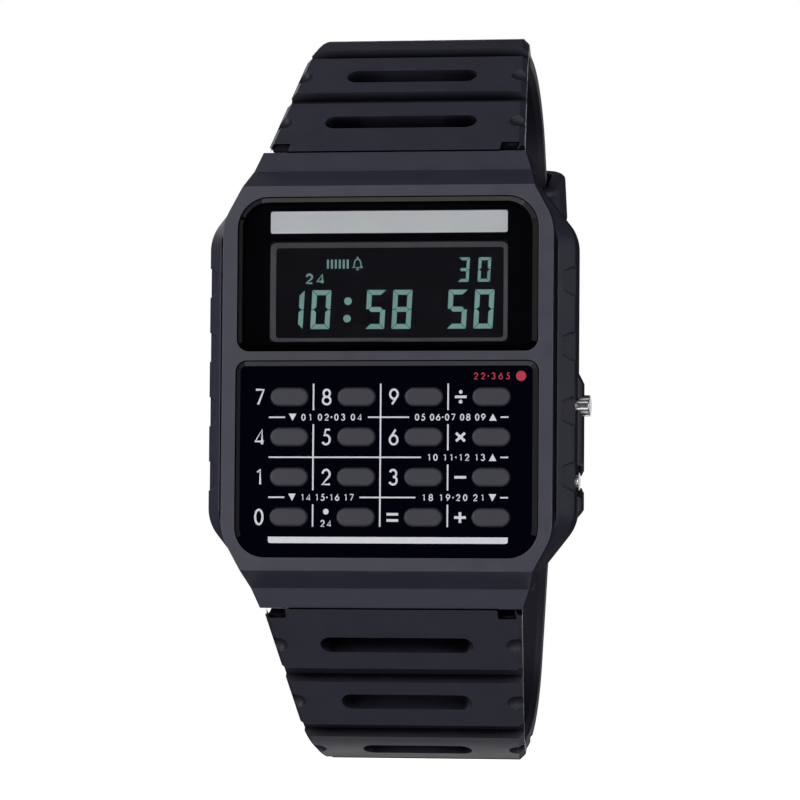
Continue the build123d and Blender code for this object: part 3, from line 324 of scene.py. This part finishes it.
def window_finish():
    """Clear acrylic with its bevel and sides painted black, told apart by where the faces turn."""
    mat = finish("window_acrylic", (0.98, 0.985, 0.99), 0.012, other=(1, 1, 1), spread=0.006,
                 relief=0.00002 * MM, edge=0, Transmission_Weight=1.0, IOR=ACRYLIC_IOR)
    tree = mat.node_tree
    shader = tree.nodes["Principled BSDF"]
    shape = node_of(tree, "ShaderNodeNewGeometry")
    parts = node_of(tree, "ShaderNodeSeparateXYZ")
    tree.links.new(shape.outputs["True Normal"], parts.inputs["Vector"])
    along = node_of(tree, "ShaderNodeMath", operation="ABSOLUTE")
    tree.links.new(parts.outputs["Y"], along.inputs[0])
    clear = node_of(tree, "ShaderNodeMath", operation="GREATER_THAN")
    clear.inputs[1].default_value = CLEAR_FROM
    tree.links.new(along.outputs[0], clear.inputs[0])
    paint = node_of(tree, "ShaderNodeMix", data_type="RGBA")
    paint.inputs["A"].default_value = BEVEL_PAINT
    tree.links.new(clear.outputs[0], paint.inputs["Factor"])
    tree.links.new(shader.inputs["Base Color"].links[0].from_socket, paint.inputs["B"])
    tree.links.new(paint.outputs["Result"], shader.inputs["Base Color"])
    return mat


def metal(name, colour, roughness, **more):
    """A bare metal."""
    return finish(name, colour, roughness, Metallic=1.0, **more)


def all_finishes():
    """One finish for each material slot of the record, by the slot's name."""
    return {
        "case_resin": finish("case_resin", (0.0385, 0.0385, 0.060), 0.43, edge_highlight=0.9,
                             grain=0.07 * MM, relief=0.0015 * MM, edge=0.12 * MM,
                             painted_shade_reach=0.35 * MM),
        "strap_resin": strap_finish(),
        "buckle_resin": finish("buckle_resin", (0.023, 0.0235, 0.035), 0.46, edge_highlight=0.2,
                               painted_shade_reach=1.5 * MM),
        "window_acrylic": window_finish(),
        "keypad_acrylic": finish("keypad_acrylic", (0.0006, 0.0006, 0.0034), 0.05, spread=0.02,
                                 relief=0.0001 * MM, patch=4 * MM, edge=0, IOR=ACRYLIC_IOR),
        "dial_print": finish("dial_print", (0.0006, 0.0006, 0.0030), 0.6, relief=0.0005 * MM,
                             edge=0, Specular_IOR_Level=0.02),
        "display_glass": finish("display_glass", (0.0085, 0.0078, 0.0125), 0.3, spread=0.02,
                                relief=0.0001 * MM, other=(0.009, 0.0082, 0.013), edge=0,
                                Specular_IOR_Level=0.1),
        "key_resin": finish("key_resin", (0.026, 0.027, 0.038), 0.5, edge_highlight=0.25, patch=1.2 * MM,
                            grain=0.05 * MM, relief=0.002 * MM, edge=0.08 * MM),
        "mat_rubber": finish("mat_rubber", (0.16, 0.16, 0.17), 0.7),
        "contact_film": finish("contact_film", (0.42, 0.22, 0.05), 0.35, relief=0.0003 * MM),
        "module_plastic": finish("module_plastic", (0.62, 0.61, 0.57), 0.45),
        "board_laminate": finish("board_laminate", (0.012, 0.11, 0.045), 0.4,
                                 other=(0.02, 0.15, 0.06)),
        "chip_epoxy": finish("chip_epoxy", (0.012, 0.012, 0.013), 0.35),
        "gasket_rubber": finish("gasket_rubber", (0.012, 0.012, 0.012), 0.6),
        "crystal_can": metal("crystal_can", (0.55, 0.56, 0.58), 0.24),
        "cell_steel": metal("cell_steel", (0.62, 0.62, 0.63), 0.26, patch=4 * MM),
        "spring_steel": metal("spring_steel", (0.5, 0.5, 0.52), 0.24),
        "buzzer_brass": metal("buzzer_brass", (0.62, 0.45, 0.18), 0.3),
        "back_steel": metal("back_steel", (0.52, 0.52, 0.54), 0.3, stretch=BRUSHED,
                            patch=0.4 * MM, relief=0.002 * MM, spread=0.12),
        "screw_steel": metal("screw_steel", (0.42, 0.42, 0.44), 0.3),
        "pusher_steel": metal("pusher_steel", (0.66, 0.66, 0.68), 0.24, stretch=(0.3, 1, 1),
                              patch=0.3 * MM, grain=0.12 * MM, relief=0.004 * MM, spread=0.08),
        "bar_steel": metal("bar_steel", (0.5, 0.5, 0.52), 0.26, stretch=(0.05, 1, 1)),
    }


def dress(finishes):
    """Gives each CAD node the finish that its slot names."""
    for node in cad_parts.values():
        for slot in node.material_slots:
            slot.material = finishes[slot.material.name]


def placed(piece, mat):
    """Links a piece, gives it its finish, and lets it ride on the case."""
    shell = bmesh.new()
    shell.from_mesh(piece.data)
    bmesh.ops.recalc_face_normals(shell, faces=shell.faces)
    shell.to_mesh(piece.data)
    shell.free()
    piece.data.materials.append(mat)
    bpy.context.collection.objects.link(piece)
    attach(piece, "case")


def solid(name, outlines, back, front, mat):
    """One piece of flat plates, each an outline of (x, z) points that runs from back to front."""
    verts, faces = [], []
    for loop in outlines:
        start, count = len(verts), len(loop)
        verts += [(x, back, z) for x, z in loop] + [(x, front, z) for x, z in loop]
        faces.append([start + i for i in range(count)][::-1])
        faces.append([start + count + i for i in range(count)])
        for i in range(count):
            j = (i + 1) % count
            faces.append([start + i, start + j, start + count + j, start + count + i])
    mesh = bpy.data.meshes.new(name)
    mesh.from_pydata(verts, [], faces)
    placed(bpy.data.objects.new(name, mesh), mat)


def on_panel(name, outlines, mat):
    """Marks that stand just proud of the keypad panel."""
    solid(name, outlines, panel_front, panel_front - INK_PROUD, mat)


def on_lcd(name, outlines, mat):
    """Marks that stand just proud of the display glass."""
    solid(name, outlines, lcd_front, lcd_front - SEGMENT_PROUD, mat)


def rounded(low_x, low_z, high_x, high_z, radius, steps=CORNER_STEPS):
    """The outline of a rectangle with round corners, counter-clockwise from the upper right."""
    corners = [(high_x, high_z, 0), (low_x, high_z, 1), (low_x, low_z, 2), (high_x, low_z, 3)]
    points = []
    for x, z, quarter in corners:
        centre_x = x - radius if x == high_x else x + radius
        centre_z = z - radius if z == high_z else z + radius
        for i in range(steps + 1):
            turn = math.radians(90) * (quarter + i / steps)
            points.append((centre_x + radius * math.cos(turn),
                           centre_z + radius * math.sin(turn)))
    return points


def disc(x, z, radius, steps=32):
    """The outline of a round dot."""
    turns = [math.tau * i / steps for i in range(steps)]
    return [(x + radius * math.cos(t), z + radius * math.sin(t)) for t in turns]


def arc(x, z, wide, high, start, end, steps=20):
    """Points along part of an ellipse round (x, z); its angles are in degrees from +X."""
    turns = [math.radians(start + (end - start) * i / steps) for i in range(steps + 1)]
    return [(x + wide * math.cos(t), z + high * math.sin(t)) for t in turns]


# A figure is a list of strokes, and a stroke a list of points in shares of its width and height.
FIGURE_STROKE_SHARES = {
    "0": [arc(0.5, 0.5, 0.44, 0.5, 0, 360)],
    "1": [[(0.28, 0.82), (0.62, 1.0), (0.62, 0.0)]],
    "2": [arc(0.5, 0.70, 0.42, 0.30, 175, -35) + [(0.04, 0.0), (0.96, 0.0)]],
    "3": [arc(0.46, 0.745, 0.38, 0.255, 160, -90), arc(0.46, 0.27, 0.44, 0.27, 90, -160)],
    "4": [[(0.80, 0.0), (0.80, 1.0), (0.0, 0.2), (1.0, 0.2)]],
    "5": [[(0.92, 1.0), (0.40, 1.0), (0.26, 0.60)] + arc(0.44, 0.32, 0.46, 0.32, 118, -150)],
    "6": [[(0.72, 1.0), (0.10, 0.44)], arc(0.5, 0.31, 0.46, 0.31, 0, 360)],
    "7": [[(0.02, 1.0), (0.98, 1.0), (0.30, 0.0)]],
    "8": [arc(0.5, 0.75, 0.38, 0.25, 0, 360), arc(0.5, 0.26, 0.46, 0.26, 0, 360)],
    "9": [[(0.28, 0.0), (0.90, 0.56)], arc(0.5, 0.69, 0.46, 0.31, 0, 360)],
    "divide": [[(0.0, 0.5), (1.0, 0.5)], arc(0.5, 0.96, 0.05, 0.05, 0, 360),
               arc(0.5, 0.04, 0.05, 0.05, 0, 360)],
    "times": [[(0.12, 0.12), (0.88, 0.88)], [(0.12, 0.88), (0.88, 0.12)]],
    "minus": [[(0.0, 0.5), (1.0, 0.5)]],
    "plus": [[(0.0, 0.5), (1.0, 0.5)], [(0.5, 0.0), (0.5, 1.0)]],
    "equals": [[(0.0, 0.21), (1.0, 0.21)], [(0.0, 0.79), (1.0, 0.79)]],
}


def figure_lines(figure, x, z, wide, high):
    """The strokes of one figure, with (x, z) its lower left corner."""
    return [[(x + wide * a, z + high * b) for a, b in line]
            for line in FIGURE_STROKE_SHARES[figure]]


def strokes(name, lines, width, mat, front=panel_front):
    """One piece of ink: each line of (x, z) points is a low round-ended ridge on a flat front."""
    curve = bpy.data.curves.new(name, "CURVE")
    curve.dimensions = "3D"
    curve.bevel_depth = width / 2
    curve.bevel_resolution = 3
    curve.use_fill_caps = True
    for line in lines:
        spline = curve.splines.new("POLY")
        spline.points.add(len(line) - 1)
        for point, (x, z) in zip(spline.points, line):
            point.co = (x, 0, z, 1)
    rod = bpy.data.objects.new(name + "_rod", curve)
    mesh = bpy.data.meshes.new_from_object(rod)
    bpy.data.objects.remove(rod)
    mesh.name = name
    squeeze = Matrix.Diagonal((1, INK_PROUD / (width / 2), 1, 1))
    mesh.transform(Matrix.Translation((0, front, 0)) @ squeeze)
    mesh.materials.clear()
    placed(bpy.data.objects.new(name, mesh), mat)


def small_figures(name, text, x, z, wide, ink):
    """A row of small plain numbers that fills a width from x; a point in the text is raised."""
    places = [SMALL_SPACE_SHARE if letter in " ." else 1 for letter in text]
    pitch = wide / sum(places)
    lines, dots = [], []
    for letter, place in zip(text, places):
        if letter == ".":
            dots.append(disc(x + pitch * place / 2, z + SMALL_HIGH / 2, SMALL_DOT, 16))
        elif letter != " ":
            left = x + (pitch - SMALL_WIDE) / 2
            lines += figure_lines(letter, left, z, SMALL_WIDE, SMALL_HIGH)
        x += pitch * place
    strokes(name, lines, SMALL_STROKE, ink)
    if dots:
        on_panel(name + "_dot", dots, ink)


def pointer(name, x, z, up, ink):
    """A small filled triangle that points up or down."""
    side = 1 if up else -1
    base = z - side * MARK_HIGH / 2
    loop = [(x - MARK_WIDE / 2, base), (x + MARK_WIDE / 2, base), (x, z + side * MARK_HIGH / 2)]
    on_panel(name, [loop], ink)


def key_centre(name):
    """Where a key stands on the panel, from the frame."""
    low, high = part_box("key_" + name)
    return (low.x + high.x) / 2, (low.z + high.z) / 2


def legend(name, x, z, wide, high, stroke, ink):
    """A key's own figure or sign, with (x, z) its middle."""
    lines = figure_lines(name, x - wide / 2, z - high / 2, wide, high)
    strokes("legend_" + name, lines, stroke, ink)


def print_figures(ink):
    """The figure or sign that stands left of each key."""
    for row in KEY_ROWS:
        for name in row:
            x, z = key_centre(name)
            edge = x - KEY_HALF_WIDE
            if name == "point":
                middle = edge - FIGURE_GAP
                on_panel("legend_point", [disc(middle, z + POINT_ABOVE, POINT_RADIUS)], ink)
                small_figures("legend_point_number", "24", middle - POINT_NUMBER_WIDE / 2,
                              z - POINT_NUMBER_BELOW, POINT_NUMBER_WIDE, ink)
            elif name.isdigit():
                legend(name, edge - FIGURE_GAP, z, FIGURE_WIDE, FIGURE_HIGH, FIGURE_STROKE, ink)
            else:
                legend(name, edge - SIGN_GAP, z, SIGN_WIDE, SIGN_HIGH, SIGN_STROKE, ink)


def print_lines(ink):
    """The ruled lines between the keys, broken where small numbers and a pointer stand."""
    columns = [key_centre(name)[0] for name in KEY_ROWS[0]]
    rows = [key_centre(row[0])[1] for row in KEY_ROWS]
    left = columns[0] - KEY_HALF_WIDE - LINES_PAST_LEFT_KEY
    right = columns[-1] + KEY_HALF_WIDE - LINES_SHORT_OF_RIGHT_KEY
    top = rows[0] + KEY_HALF_HIGH + UPRIGHT_RISE
    bottom = rows[-1] - KEY_HALF_HIGH
    levels = [(above + below) / 2 - LINES_BELOW_MIDDLE for above, below in zip(rows, rows[1:])]
    ruled = []
    for column, crossed in zip(columns, CROSSINGS):
        x = column + KEY_HALF_WIDE + UPRIGHT_GAP
        start = top
        for level in [levels[k] for k in crossed]:
            ruled.append([(x, start), (x, level + UPRIGHT_BREAK)])
            start = level - UPRIGHT_BREAK
        ruled.append([(x, start), (x, bottom)])
    for i, (level, label) in enumerate(zip(levels, LABELS)):
        left_text, left_wide, left_up, right_text, right_wide, right_up = label
        text_base = level - SMALL_HIGH / 2
        line_start = left
        if left_text:
            stub_end = left + LEFT_STUB
            ruled.append([(left, level), (stub_end, level)])
            pointer(f"legend_pointer_left_{i}", stub_end + MARK_GAP + MARK_WIDE / 2, level,
                    left_up, ink)
            text_start = stub_end + 2 * MARK_GAP + MARK_WIDE
            small_figures(f"legend_numbers_left_{i}", left_text, text_start, text_base,
                          left_wide, ink)
            line_start = text_start + left_wide + LINE_GAP
        stub_start = right - RIGHT_STUB
        ruled.append([(stub_start, level), (right, level)])
        pointer(f"legend_pointer_right_{i}", stub_start - MARK_GAP - MARK_WIDE / 2, level,
                right_up, ink)
        text_start = stub_start - MARK_GAP - MARK_WIDE - RIGHT_NUMBER_GAP - right_wide
        small_figures(f"legend_numbers_right_{i}", right_text, text_start, text_base,
                      right_wide, ink)
        ruled.append([(line_start, level), (text_start - LINE_GAP, level)])
    strokes("legend_lines", ruled, LINE_WIDTH, ink)
    bar_top = bottom - BAR_BELOW_KEYS
    round_bar = rounded(left, bar_top - BAR_HIGH, right, bar_top, BAR_CORNER)
    lower_corners = round_bar[2 * (CORNER_STEPS + 1):]
    on_panel("legend_bar", [[(right, bar_top), (left, bar_top)] + lower_corners], ink)


def print_red(red):
    """The red dot in the panel's corner, and small plain numbers beside it."""
    x, z = key_centre("divide")
    dot_x, dot_z = x + RED_DOT_RIGHT, z + RED_DOT_ABOVE
    on_panel("legend_red_dot", [disc(dot_x, dot_z, RED_DOT)], red)
    small_figures("legend_red_numbers", "22.365", dot_x - RED_NUMBERS_LEFT,
                  dot_z - SMALL_HIGH / 2, RED_NUMBERS_WIDE, red)


def segments(digit, x, z, wide, high, thick, gap):
    """The lit segments of a slanted seven-segment digit, with (x, z) its lower left corner."""
    half, mid = thick / 2, high / 2
    inner, outer = thick + gap, wide - thick - gap
    close, far = thick + gap / 2, wide - thick - gap / 2
    shapes = {
        "a": [(gap, high), (wide - gap, high), (outer, high - thick), (inner, high - thick)],
        "d": [(inner, thick), (outer, thick), (wide - gap, 0), (gap, 0)],
        "g": [(half + gap, mid), (close, mid + half), (far, mid + half),
              (wide - half - gap, mid), (far, mid - half), (close, mid - half)],
        "f": [(0, high - gap), (thick, high - thick - gap), (thick, mid + half + gap / 2),
              (half, mid + gap), (0, mid + gap)],
    }
    shapes["b"] = [(wide - px, pz) for px, pz in reversed(shapes["f"])]
    shapes["e"] = [(px, high - pz) for px, pz in reversed(shapes["f"])]
    shapes["c"] = [(wide - px, high - pz) for px, pz in shapes["f"]]
    lit = {"0": "abcdef", "1": "bc", "3": "abcdg", "5": "acdfg", "8": "abcdefg"}[digit]
    return [[(x + px + pz * SLANT, z + pz) for px, pz in shapes[letter]] for letter in lit]


def show_time(mat):
    """The display: hours, minutes, seconds, small numbers, bars and a bell."""
    main = []
    for digit, x in TIME_FIGURES:
        main += segments(digit, x * MM, TIME_BASE, **BIG)
    main += [disc(x * MM, TIME_BASE + z * MM, COLON_DOT) for x, z in COLON_DOTS]
    on_lcd("display_time", main, mat)
    seconds = []
    for digit, x in SECOND_FIGURES:
        seconds += segments(digit, x * MM, TIME_BASE, **BIG)
    on_lcd("display_seconds", seconds, mat)
    date = []
    for digit, x, wide in DATE_FIGURES:
        date += segments(digit, x * MM, DATE_BASE, wide=wide * MM, **SMALL)
    on_lcd("display_date", date, mat)
    lefts = [(BARS_LEFT + BARS_PITCH * i) * MM for i in range(BARS)]
    bars = [rounded(x, BARS_LOW, x + BARS_WIDE, BARS_HIGH, BARS_CORNER, 3) for x in lefts]
    on_lcd("display_signal_bars", bars, mat)
    lines = []
    for digit, x in HALF_DAY_FIGURES:
        lines += figure_lines(digit, x * MM, HALF_DAY_BASE, HALF_DAY_WIDE, HALF_DAY_HIGH)
    strokes("display_half_day_number", lines, HALF_DAY_STROKE, mat, lcd_front)
    outline = [*BELL_HALF, *[(-a, b) for a, b in BELL_HALF[:-1]][::-1], BELL_HALF[0]]
    bell = [[(BELL_X + a * MM, BELL_Z + b * MM) for a, b in outline]]
    strokes("display_bell", bell, BELL_STROKE, mat, lcd_front)
    ends = [disc(BELL_X, BELL_Z + b * MM, r * MM, 12) for b, r in BELL_ENDS]
    on_lcd("display_bell_ends", ends, mat)


def frame_round_display(mat):
    """The grey frame in the dial plate's opening: flush outside, and deeper at its inner edge."""
    outer, inner = rounded(*FRAME_OUTER), rounded(*FRAME_INNER)
    rings = [(outer, lcd_front), (outer, plate_front), (inner, lcd_front - FRAME_INNER_PROUD),
             (inner, lcd_front)]
    count = len(outer)
    verts = [(x, y, z) for loop, y in rings for x, z in loop]
    faces = []
    for r in range(len(rings)):
        here, there = r * count, ((r + 1) % len(rings)) * count
        for i in range(count):
            j = (i + 1) % count
            faces.append([here + i, here + j, there + j, there + i])
    mesh = bpy.data.meshes.new("display_frame")
    mesh.from_pydata(verts, [], faces)
    placed(bpy.data.objects.new("display_frame", mesh), mat)


def stripe(mat):
    """The bare silver stripe that is printed across the dial plate."""
    solid("dial_stripe", [rounded(*STRIPE)], plate_front, plate_front - STRIPE_PROUD, mat)


def studio():
    """White paper underneath and a white surround, which only the camera sees."""
    floor_z = cad_box[0].z - FLOOR_DROP
    turns = [math.tau * i / FLOOR_CORNERS for i in range(FLOOR_CORNERS)]
    corners = [(math.cos(t) * FLOOR_RADIUS, math.sin(t) * FLOOR_RADIUS, floor_z) for t in turns]
    mesh = bpy.data.meshes.new("floor")
    mesh.from_pydata(corners, [], [list(range(FLOOR_CORNERS))])
    floor = bpy.data.objects.new("floor", mesh)
    paper = bpy.data.materials.new("paper")
    paper.use_nodes = True
    shader = paper.node_tree.nodes["Principled BSDF"]
    shader.inputs["Base Color"].default_value = PAPER
    shader.inputs["Roughness"].default_value = 0.9
    shader.inputs["Specular IOR Level"].default_value = 0.0
    shader.inputs["Emission Color"].default_value = WHITE
    shader.inputs["Emission Strength"].default_value = 1.0
    floor.data.materials.append(paper)
    floor.visible_diffuse = floor.visible_glossy = floor.visible_transmission = False
    floor.visible_shadow = False
    bpy.context.collection.objects.link(floor)

    world = bpy.data.worlds.new("surround")
    bpy.context.scene.world = world
    world.use_nodes = True
    tree = world.node_tree
    output = tree.nodes["World Output"]
    glow = tree.nodes["Background"]
    glow.inputs["Strength"].default_value = WORLD_GLOW
    glow.inputs["Color"].default_value = WHITE
    white = node_of(tree, "ShaderNodeBackground", Strength=1.0)
    white.inputs["Color"].default_value = WHITE
    path = node_of(tree, "ShaderNodeLightPath")
    pick = node_of(tree, "ShaderNodeMixShader")
    tree.links.new(path.outputs["Is Camera Ray"], pick.inputs["Fac"])
    tree.links.new(glow.outputs[0], pick.inputs[1])
    tree.links.new(white.outputs[0], pick.inputs[2])
    tree.links.new(pick.outputs[0], output.inputs["Surface"])


def from_face(azimuth, elevation):
    """The direction out from the middle of the face, for two angles in radians."""
    flat = math.cos(elevation)
    return Vector((math.sin(azimuth) * flat, -math.cos(azimuth) * flat, math.sin(elevation)))


def lamp(name, azimuth, elevation, distance, wide, high, watts, only):
    """A soft area light that looks at the middle; with only, it lights just those nodes."""
    place = from_face(math.radians(azimuth), math.radians(elevation)) * distance
    light = bpy.data.lights.new(name, "AREA")
    light.shape = "RECTANGLE"
    light.size, light.size_y = wide, high
    light.energy = watts
    obj = bpy.data.objects.new(name, light)
    obj.location = place
    obj.rotation_euler = (-place).to_track_quat("-Z", "Y").to_euler()
    bpy.context.collection.objects.link(obj)
    if only:
        lit = bpy.data.collections.new(name + "_lights")
        for node in only:
            lit.objects.link(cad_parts[node])
        obj.light_linking.receiver_collection = lit


def camera():
    """Looks at the face from the photograph's place, a little from the right and from below."""
    back = from_face(AZIMUTH, ELEVATION)
    level = Vector((math.cos(AZIMUTH), math.sin(AZIMUTH), 0))
    upright = back.cross(level)
    right = level * math.cos(ROLL) + upright * math.sin(ROLL)
    up = upright * math.cos(ROLL) - level * math.sin(ROLL)
    turned = Matrix((right, up, back)).transposed().to_4x4()
    data = bpy.data.cameras.new("camera")
    data.sensor_width = SENSOR
    data.lens = LENS
    data.clip_start = DISTANCE / 50
    data.clip_end = FLOOR_RADIUS * 4
    obj = bpy.data.objects.new("camera", data)
    obj.matrix_world = Matrix.Translation(AIM + back * DISTANCE) @ turned
    bpy.context.collection.objects.link(obj)
    bpy.context.scene.camera = obj


def main():
    """Everything in the scene but the frame itself."""
    bpy.context.scene.view_settings.view_transform = "Standard"
    camera()
    studio()
    for values in LAMPS:
        lamp(*values)
    dress(all_finishes())
    ink = finish("legend_ink", (0.70, 0.71, 0.75), 0.5, patch=0.4 * MM, relief=0.0005 * MM, edge=0)
    red = finish("legend_red", (0.46, 0.014, 0.05), 0.5, patch=0.4 * MM, relief=0.0005 * MM,
                 edge=0)
    silver = finish("stripe_silver", (0.88, 0.91, 0.94), 0.45, other=(0.93, 0.96, 0.99),
                    patch=1.5 * MM, stretch=(0.1, 1, 1), relief=0.0005 * MM, edge=0)
    grey = finish("frame_grey", (0.082, 0.082, 0.098), 0.5, relief=0.0005 * MM, edge=0)
    lit = finish("segment_green", (0.30, 0.58, 0.53), 0.5, other=(0.34, 0.64, 0.58),
                 patch=0.8 * MM, relief=0.0002 * MM, edge=0)
    print_figures(ink)
    print_lines(ink)
    print_red(red)
    stripe(silver)
    frame_round_display(grey)
    show_time(lit)


main()
